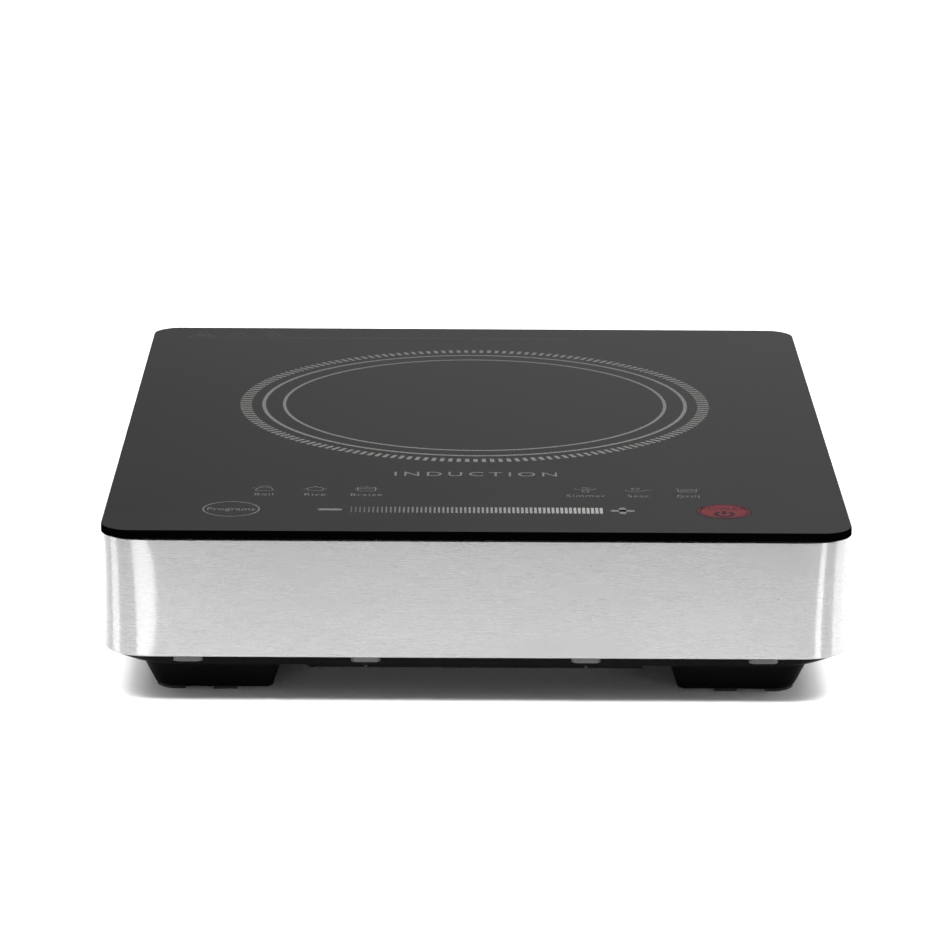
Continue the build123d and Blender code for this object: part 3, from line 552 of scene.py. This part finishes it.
def join_loops(mesh, loops, closed=False, material=0):
    """Faces between one loop of vertices and the next."""
    pairs = list(zip(loops, loops[1:])) + ([(loops[-1], loops[0])] if closed else [])
    for lower, upper in pairs:
        for i in range(len(lower)):
            j = (i + 1) % len(lower)
            face = mesh.faces.new((lower[i], lower[j], upper[j], upper[i]))
            face.material_index = material


def add_loop(mesh, points, z):
    return [mesh.verts.new((x, y, z)) for x, y in points]


def finish_mesh(mesh, name, materials, body="housing", smooth_angle=35):
    """Turns a bmesh into a piece that rides on a body."""
    bmesh.ops.recalc_face_normals(mesh, faces=mesh.faces)
    data = bpy.data.meshes.new(name)
    mesh.to_mesh(data)
    mesh.free()
    piece = bpy.data.objects.new(name, data)
    bpy.context.scene.collection.objects.link(piece)
    for material in materials:
        data.materials.append(material)
    smooth(data, smooth_angle)
    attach(piece, body)
    return piece


def smooth(data, angle):
    data.polygons.foreach_set("use_smooth", [True] * len(data.polygons))
    data.set_sharp_from_angle(angle=math.radians(angle))


def weigh_normals(piece):
    """Keeps wide flat faces flat in shading beside narrow rounded edges."""
    modifier = piece.modifiers.new("weighted", "WEIGHTED_NORMAL")
    modifier.keep_sharp = True
    modifier.weight = 100


def arc(centre_inset, centre_z, radius, start, end, steps=6):
    """Points (inset, z) of an arc in the band's section, from one angle to another in degrees."""
    points = []
    for i in range(steps + 1):
        angle = math.radians(start + (end - start) * i / steps)
        points.append((centre_inset - radius * math.cos(angle), centre_z + radius * math.sin(angle)))
    return points


# ---- Glass -------------------------------------------------------------------------------
def make_glass():
    """The glass plate, with a fine ground arris round its top and bottom edges."""
    mesh = bmesh.new()
    a = glass_arris
    section = [(a, glass_low.z), (0, glass_low.z + a), (0, glass_surface - a)]
    section += [(a * 0.3, glass_surface - a * 0.3), (a, glass_surface)]
    loops = [
        add_loop(mesh, outline(glass_low, glass_high, inset, round_corner(glass_radius - inset)), z)
        for inset, z in section
    ]
    join_loops(mesh, loops, material=1)
    mesh.faces.new(loops[-1]).material_index = 0
    mesh.faces.new(list(reversed(loops[0]))).material_index = 0
    materials = [black_glass(), ground_glass_edge()]
    piece = finish_mesh(mesh, "glass_plate", materials, smooth_angle=30)
    weigh_normals(piece)
    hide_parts("glass_top")


# ---- Steel band --------------------------------------------------------------------------
def band_section():
    """The band's closed section as (inset from the outer face, z): flange, rolled edge, wall, flange."""
    top, bottom, t = band_high.z, band_low.z, band_sheet
    upper, lower, inner = band_upper_roll, band_lower_roll, band_inner_roll
    straight = top - bottom - upper - lower
    wall = [bottom + lower + straight * i / wall_levels for i in range(1, wall_levels)]
    outside = arc(upper, top - upper, upper, 90, 0) + [(0.0, z) for z in reversed(wall)]
    outside += arc(lower, bottom + lower, lower, 0, -90)
    inside = arc(t + inner, bottom + t + inner, inner, -90, 0) + [(t, z) for z in wall]
    inside += arc(t + inner, top - t - inner, inner, 0, 90)
    section = [(band_top_flange, top)] + outside + [(band_bottom_flange, bottom)]
    return section + [(band_bottom_flange, bottom + t)] + inside + [(band_top_flange, top - t)]


def slot_cutter(mesh, x, z, width, height, low_y, high_y, steps=8):
    """An upright slot with round ends that runs front to back."""
    radius = width / 2
    rise = height / 2 - radius
    points = []
    for i in range(2 * (steps + 1)):
        upper = i <= steps
        angle = math.pi * (i if upper else i - 1) / steps
        shift = rise if upper else -rise
        points.append((x + radius * math.cos(angle), z + shift + radius * math.sin(angle)))
    front = [mesh.verts.new((px, low_y, pz)) for px, pz in points]
    back = [mesh.verts.new((px, high_y, pz)) for px, pz in points]
    join_loops(mesh, [front, back])
    mesh.faces.new(list(reversed(front)))
    mesh.faces.new(back)


def cut(piece, cutter):
    """Cuts a closed mesh out of a piece, for good."""
    bmesh.ops.recalc_face_normals(cutter, faces=cutter.faces)
    data = bpy.data.meshes.new("cutter")
    cutter.to_mesh(data)
    cutter.free()
    tool = bpy.data.objects.new("cutter", data)
    bpy.context.scene.collection.objects.link(tool)
    modifier = piece.modifiers.new("cut", "BOOLEAN")
    modifier.object = tool
    modifier.solver = "EXACT"
    depsgraph = bpy.context.evaluated_depsgraph_get()
    result = bpy.data.meshes.new_from_object(piece.evaluated_get(depsgraph))
    piece.modifiers.remove(modifier)
    piece.data = result
    bpy.data.objects.remove(tool)


def corner_radii_at(z):
    """The gentle and the tight bending radius at a height."""
    share = (z - band_low.z) / (band_high.z - band_low.z)
    for (low, *first), (high, *last) in zip(band_bends, band_bends[1:]):
        if share <= high:
            blend = max(0.0, (share - low) / (high - low))
            return [a + (b - a) * blend for a, b in zip(first, last)]
    return list(band_bends[-1][1:])


def make_band():
    """The brushed band: one section swept round the case, then pierced at the rear."""
    mesh = bmesh.new()
    loops = []
    for inset, z in band_section():
        gentle, tight = corner_radii_at(z)
        corner = arc_corner([gentle - inset, tight - inset, gentle - inset], band_turns, steps=14)
        loops.append(add_loop(mesh, outline(band_low, band_high, inset, corner), z))
    join_loops(mesh, loops, closed=True)
    piece = finish_mesh(mesh, "band_shell", [brushed_steel()])
    cutter = bmesh.new()
    rear = band_high.y
    first = (vent_slots - 1) * vent_pitch / 2
    for field in (-vent_field_centre, vent_field_centre):
        for i in range(vent_slots):
            x = field - first + i * vent_pitch
            slot_cutter(cutter, x, vent_height, *vent_slot_size, rear - 4 * MM, rear + 4 * MM)
    bushing_low, bushing_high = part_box("cord_bushing")
    x, z = (bushing_low.x + bushing_high.x) / 2, (bushing_low.z + bushing_high.z) / 2
    size = 2 * bushing_hole_radius
    slot_cutter(cutter, x, z, size, size, rear - 4 * MM, rear + 4 * MM, steps=24)
    cut(piece, cutter)
    smooth(piece.data, 35)
    weigh_normals(piece)
    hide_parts("steel_band")


# ---- Prints ------------------------------------------------------------------------------
def slab_of(mesh, polygon):
    """A thin flat slab of enamel with this outline, lying on the glass."""
    top = [mesh.verts.new((x, y, glass_surface + enamel)) for x, y in polygon]
    bottom = [mesh.verts.new((x, y, glass_surface)) for x, y in polygon]
    mesh.faces.new(top)
    mesh.faces.new(list(reversed(bottom)))
    join_loops(mesh, [bottom, top])


def ring_of(mesh, centre, radius, width, steps=256):
    """A flat ring of enamel."""
    angles = [2 * math.pi * i / steps for i in range(steps)]
    loops = []
    for r, z in (
        (radius - width / 2, glass_surface),
        (radius - width / 2, glass_surface + enamel),
        (radius + width / 2, glass_surface + enamel),
        (radius + width / 2, glass_surface),
    ):
        circle = [(centre.x + r * math.cos(a), centre.y + r * math.sin(a)) for a in angles]
        loops.append(add_loop(mesh, circle, z))
    join_loops(mesh, loops, closed=True)


def stroke(points, width):
    """The outline of a pen line through points, with square ends."""
    points = [Vector(p) for p in points]
    left, right = [], []
    for i, here in enumerate(points):
        before = points[i - 1] if i else here
        after = points[i + 1] if i + 1 < len(points) else here
        along = (after - before).normalized()
        across = Vector((-along.y, along.x)) * width / 2
        left.append(here + across)
        right.append(here - across)
    return [tuple(p) for p in right + left[::-1]]


def curve_points(centre, radius_x, radius_y, start, end, steps=20):
    """Points along part of an ellipse, with angles in degrees."""
    angles = [math.radians(start + (end - start) * i / steps) for i in range(steps + 1)]
    return [(centre[0] + radius_x * math.cos(a), centre[1] + radius_y * math.sin(a)) for a in angles]


def capsule(centre, length, width, steps=10):
    """A bar with round ends, along X."""
    reach = length / 2 - width / 2
    right = curve_points((centre[0] + reach, centre[1]), width / 2, width / 2, -90, 90, steps)
    left = curve_points((centre[0] - reach, centre[1]), width / 2, width / 2, 90, 270, steps)
    return right + left


def write(words, centre, style):
    """Plain lettering as flat enamel, centred on a point."""
    height, spacing, stretch = style
    curve = bpy.data.curves.new("lettering", "FONT")
    curve.body = words
    curve.size = height / 0.7
    curve.space_character = spacing
    curve.align_x = "CENTER"
    curve.resolution_u = 6
    curve.extrude = enamel / 2
    holder = bpy.data.objects.new("lettering", curve)
    bpy.context.scene.collection.objects.link(holder)
    depsgraph = bpy.context.evaluated_depsgraph_get()
    data = bpy.data.meshes.new_from_object(holder.evaluated_get(depsgraph))
    bpy.data.objects.remove(holder)
    bpy.data.curves.remove(curve)
    place = Matrix.Translation((centre[0], centre[1] - height / 2, glass_surface + enamel / 2))
    data.transform(place @ Matrix.Diagonal((stretch, 1, 1, 1)))
    return data


def print_piece(name, material, build=None, words=()):
    """One printed piece: what build draws, if anything, plus lettering meshes."""
    mesh = bmesh.new()
    if build:
        build(mesh)
    for data in words:
        mesh.from_mesh(data)
        bpy.data.meshes.remove(data)
    for face in mesh.faces:
        face.material_index = 0
    return finish_mesh(mesh, name, [material], smooth_angle=20)


def draw_zone(mesh):
    for radius, width in zip(ring_radii, ring_widths):
        ring_of(mesh, zone, radius, width)
    inner, outer = tick_ring
    share = math.pi / tick_count * 0.5
    for i in range(tick_count):
        middle = 2 * math.pi * i / tick_count
        first, last = middle - share, middle + share
        corners = [(inner, first), (outer, first), (outer, last), (inner, last)]
        slab_of(mesh, [(zone.x + r * math.cos(a), zone.y + r * math.sin(a)) for r, a in corners])


def draw_slider(mesh):
    low, high = slider_tick_widths
    for i in range(slider_ticks):
        share = i / (slider_ticks - 1)
        x = -slider_half + 2 * slider_half * share
        half = (low + (high - low) * share) / 2
        reach = slider_tick_length / 2
        low_y, high_y = key_row - reach, key_row + reach
        slab_of(mesh, [(x - half, low_y), (x + half, low_y), (x + half, high_y), (x - half, high_y)])


def draw_signs(mesh):
    slab_of(mesh, capsule((-sign_x, key_row), sign_length, sign_width))
    slab_of(mesh, capsule((sign_x, key_row), sign_length, sign_width))
    bar = capsule((0, 0), sign_length, sign_width)
    slab_of(mesh, [(sign_x - y, key_row + x) for x, y in bar])


def draw_function_key(mesh):
    ring_of(mesh, function_key, key_radius, key_ring_width, steps=96)


def at(origin, points):
    """Points of a pictogram drawn in millimetres, moved to their place."""
    return [(origin[0] + x * MM, origin[1] + y * MM) for x, y in points]


def kettle():
    return [
        [(-4.2, -3.6), (4.2, -3.6), (3.2, 0.8), (1.2, 2.6), (-1.2, 2.6), (-3.2, 0.8), (-4.2, -3.6)],
        [(-3.4, -0.4), (-5.4, 1.8)],
        curve_points((0, 2.4), 3.0, 2.2, 20, 160),
    ]


def covered_pot():
    return [
        curve_points((0, -1.2), 3.8, 4.4, 0, 180) + [(-3.0, -3.4), (3.0, -3.4), (3.8, -1.2)],
        [(-5.6, -0.2), (-3.9, -0.2)],
        [(3.9, -0.2), (5.6, -0.2)],
        [(-0.8, 3.9), (0.8, 3.9)],
    ]


def steamer():
    box = curve_points((3, 2), 1.2, 1.2, 0, 90, 6) + curve_points((-3, 2), 1.2, 1.2, 90, 180, 6)
    box += curve_points((-3, -2.4), 1.2, 1.2, 180, 270, 6) + curve_points((3, -2.4), 1.2, 1.2, 270, 360, 6)
    return [
        box + [box[0]],
        [(-4.0, 0.6), (4.0, 0.6)],
        [(-5.8, 0), (-4.3, 0)],
        [(4.3, 0), (5.8, 0)],
        [(-0.7, 3.9), (0.7, 3.9)],
    ]


def stew_pan():
    return [
        curve_points((0, 4.6), 5.6, 4.6, 205, 335),
        curve_points((0, -0.8), 1.6, 2.6, 0, 360),
        curve_points((0, 2.6), 2.0, 1.8, 20, 160),
        [(-1.8, -3.6), (1.8, -3.6)],
    ]


def frying_pan():
    return [
        curve_points((-1.2, 1.0), 4.6, 3.6, 190, 340) + [(3.6, 0.2), (6.4, 0.2)],
        curve_points((-1.0, 2.4), 1.7, 1.8, 0, 360),
    ]


def grill_tray():
    ripple = [(-3.4 + 0.34 * i, 1.0 + 0.7 * abs(math.sin(i * 0.47))) for i in range(21)]
    return [
        [(-5.8, 3.0), (-4.4, 3.0), (-4.0, -2.6), (4.0, -2.6), (4.4, 3.0), (5.8, 3.0)],
        [(-4.1, -0.6), (4.1, -0.6)],
        ripple,
    ]


def draw_programs(mesh):
    icons = (kettle, covered_pot, steamer, stew_pan, frying_pan, grill_tray)
    for x, icon in zip(program_x, icons):
        for line in icon():
            slab_of(mesh, stroke(at((x, program_row + icon_rise), line), icon_pen))


def draw_caution_marks(mesh):
    """Three plain triangles with a wave, a bar and a bolt in them."""
    half, rise = caution_size * 0.53, caution_size / 2
    signs = [
        [curve_points((x, 0.5), 0.6, 2.4, -90, 90, 8) for x in (-2.2, 0, 2.2)],
        [[(0, 2.6), (0, -1.4)], [(0, -2.6), (0, -3.4)]],
        [[(1.2, 3.0), (-1.2, 0.0), (1.2, 0.0), (-1.2, -3.2)]],
    ]
    for x, lines in zip(caution_x, signs):
        left, right = (x - half, caution_y - rise), (x + half, caution_y - rise)
        tip = (x, caution_y + rise)
        for side in ([left, right], [right, tip], [tip, left]):
            slab_of(mesh, stroke(side, caution_pen))
        for line in lines:
            slab_of(mesh, stroke(at((x, caution_y - 2 * MM), line), caution_sign_pen))
    # A row of short dashes stands for the small print beside them.
    chance = random.Random(7)
    x = small_print_start
    while x < small_print_end:
        length = chance.uniform(2.4, 9.0) * MM
        dash = [(x, small_print_y), (min(x + length, small_print_end), small_print_y)]
        slab_of(mesh, stroke(dash, small_print_pen))
        x += length + chance.uniform(1.2, 2.6) * MM


def draw_power_disc(mesh):
    slab_of(mesh, curve_points(power_key, key_radius, key_radius, 0, 360 - 360 / 96, 95))


def lift(piece):
    """Raises a second layer of ink by half its own thickness."""
    piece.data.transform(Matrix.Translation((0, 0, enamel / 2)))


def draw_power_symbol(mesh):
    ring_of(mesh, power_key, key_radius - 0.4 * MM, 0.8 * MM, steps=96)
    ring_of(mesh, power_key, key_radius - 1.9 * MM, 0.7 * MM, steps=96)
    x, y = power_key.x, power_key.y - power_sign_drop
    pen = 1.9 * MM
    slab_of(mesh, stroke(curve_points((x, y), 3.9 * MM, 4.2 * MM, 125, 415, 30), pen))
    slab_of(mesh, stroke([(x, y + 5.2 * MM), (x, y - 0.4 * MM)], pen))


def make_prints():
    grey = enamel_print("grey_enamel", (0.075, 0.074, 0.07))
    faint = enamel_print("faint_enamel", (0.022, 0.022, 0.02))
    fine = enamel_print("fine_enamel", (0.05, 0.05, 0.048))
    sign = enamel_print("sign_enamel", (0.055, 0.055, 0.053))
    print_piece("zone_print", grey, draw_zone)
    print_piece("slider_print", slider_print(), draw_slider)
    print_piece("sign_print", sign, draw_signs)
    label = write("Programs", function_key, function_style)
    print_piece("function_key_print", fine, draw_function_key, [label])
    places = [(x, program_row - label_drop) for x in program_x]
    labels = [write(word, place, label_style) for word, place in zip(program_words, places)]
    print_piece("program_print", fine, draw_programs, labels)
    mark = write("INDUCTION", (0, centre_word_y), centre_style)
    centre = enamel_print("centre_enamel", (0.06, 0.06, 0.058))
    print_piece("centre_print", centre, words=[mark])
    print_piece("caution_print", faint, draw_caution_marks)
    red = enamel_print("red_enamel", (0.042, 0.0015, 0.003), 0.1, 0.5, 0.15)
    print_piece("power_key_disc", red, draw_power_disc)
    word = write("POWER", (power_key.x, power_key.y + power_word_rise), power_style)
    plum = enamel_print("plum_enamel", (0.002, 0.0004, 0.0025), 0.1, 0.5, 0.1)
    lift(print_piece("power_key_symbol", plum, draw_power_symbol, [word]))


# ---- Studio ------------------------------------------------------------------------------
def make_floor():
    """A wide pale floor."""
    mesh = bmesh.new()
    bmesh.ops.create_circle(mesh, cap_ends=True, segments=96, radius=floor_radius)
    data = bpy.data.meshes.new("studio_floor")
    mesh.to_mesh(data)
    mesh.free()
    floor = bpy.data.objects.new("studio_floor", data)
    bpy.context.scene.collection.objects.link(floor)
    surface = Surface("studio_floor", (0.9, 0.9, 0.9), 0.7, specular=0.2)
    grain = surface.noise(60, detail=4)
    surface.link(surface.blend(grain, (0.89, 0.89, 0.89), (0.91, 0.91, 0.91)), "Base Color")
    data.materials.append(surface.material)


def soft_box(name, place, target, size, watts):
    """A rectangular area light that faces a target."""
    light = bpy.data.lights.new(name, "AREA")
    light.shape = "RECTANGLE"
    light.size, light.size_y = size
    light.energy = watts
    holder = bpy.data.objects.new(name, light)
    holder.location = place
    aim = Vector(target) - Vector(place)
    holder.rotation_mode = "QUATERNION"
    holder.rotation_quaternion = aim.to_track_quat("-Z", "Y")
    bpy.context.scene.collection.objects.link(holder)


def make_world():
    """A dim studio, paler overhead, with a soft glow low down behind the right of the object."""
    world = bpy.data.worlds.new("studio")
    bpy.context.scene.world = world
    world.use_nodes = True
    tree = world.node_tree
    direction = tree.nodes.new("ShaderNodeTexCoord").outputs["Generated"]
    split = tree.nodes.new("ShaderNodeSeparateXYZ")
    tree.links.new(direction, split.inputs[0])
    ramp = tree.nodes.new("ShaderNodeValToRGB")
    tree.links.new(split.outputs["Z"], ramp.inputs["Fac"])
    for _ in sky_tones[2:]:
        ramp.color_ramp.elements.new(0.5)
    for element, (height, tone) in zip(ramp.color_ramp.elements, sky_tones):
        element.position = height
        element.color = (tone, tone, tone, 1)
    facing = tree.nodes.new("ShaderNodeVectorMath")
    facing.operation = "DOT_PRODUCT"
    tree.links.new(direction, facing.inputs[0])
    facing.inputs[1].default_value = Vector(glow_direction).normalized()
    glow = tree.nodes.new("ShaderNodeMapRange")
    glow.interpolation_type = "SMOOTHSTEP"
    tree.links.new(facing.outputs["Value"], glow.inputs["Value"])
    glow.inputs["From Min"].default_value = glow_edge
    glow.inputs["To Max"].default_value = glow_level
    total = tree.nodes.new("ShaderNodeMixRGB")
    total.blend_type = "ADD"
    total.inputs["Fac"].default_value = 1.0
    tree.links.new(ramp.outputs["Color"], total.inputs["Color1"])
    tree.links.new(glow.outputs["Result"], total.inputs["Color2"])
    tree.links.new(total.outputs["Color"], tree.nodes["Background"].inputs["Color"])


def low_bar(name, corner_x, azimuth, width, radiance):
    """A low strip light on the floor, facing one front corner of the case.

    The azimuth is in degrees from straight ahead of the front, positive to the right.
    """
    turn = math.radians(azimuth)
    x = corner_x + bar_distance * math.sin(turn)
    y = glass_low.y - bar_distance * math.cos(turn)
    target = (corner_x, glass_low.y, bar_height / 2)
    watts = radiance * math.pi * width * bar_height
    soft_box(name, (x, y, bar_height / 2), target, (width, bar_height), watts)


def make_lights():
    make_world()
    for name, (place, size, watts) in (("overhead", overhead_box), ("front", front_box)):
        soft_box(name, place, (place[0], place[1], 0), size, watts)
    (x, y, z), size, watts = side_box
    for name, side in (("left", -1), ("right", 1)):
        soft_box(name, (side * x, y, z), (0, y, 0), size, watts)
    for name, side, azimuth, width, radiance in low_bars:
        low_bar(name, side * band_high.x, azimuth, width, radiance)


def make_camera():
    """A long lens a little above the glass, in front of the cooktop."""
    camera = bpy.data.cameras.new("camera")
    camera.sensor_width = 36.0
    camera.lens = camera_lens
    camera.clip_start, camera.clip_end = 0.05, 60.0
    holder = bpy.data.objects.new("camera", camera)
    x, y, rise = camera_place
    aim = Euler((math.radians(90 - camera_dip), 0.0, math.radians(camera_turn)), "XYZ")
    roll = Matrix.Rotation(math.radians(camera_roll), 4, "Z")
    place = Matrix.Translation((x, y, glass_high.z + rise))
    holder.matrix_world = place @ aim.to_matrix().to_4x4() @ roll
    bpy.context.scene.collection.objects.link(holder)
    bpy.context.scene.camera = holder


def smooth_cad_nodes():
    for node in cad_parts.values():
        smooth(node.data, 32)


# ---- Everything --------------------------------------------------------------------------
make_camera()
make_floor()
make_lights()
dress_cad_nodes()
smooth_cad_nodes()
make_glass()
make_band()
make_prints()
bpy.context.scene.view_settings.view_transform = "Standard"
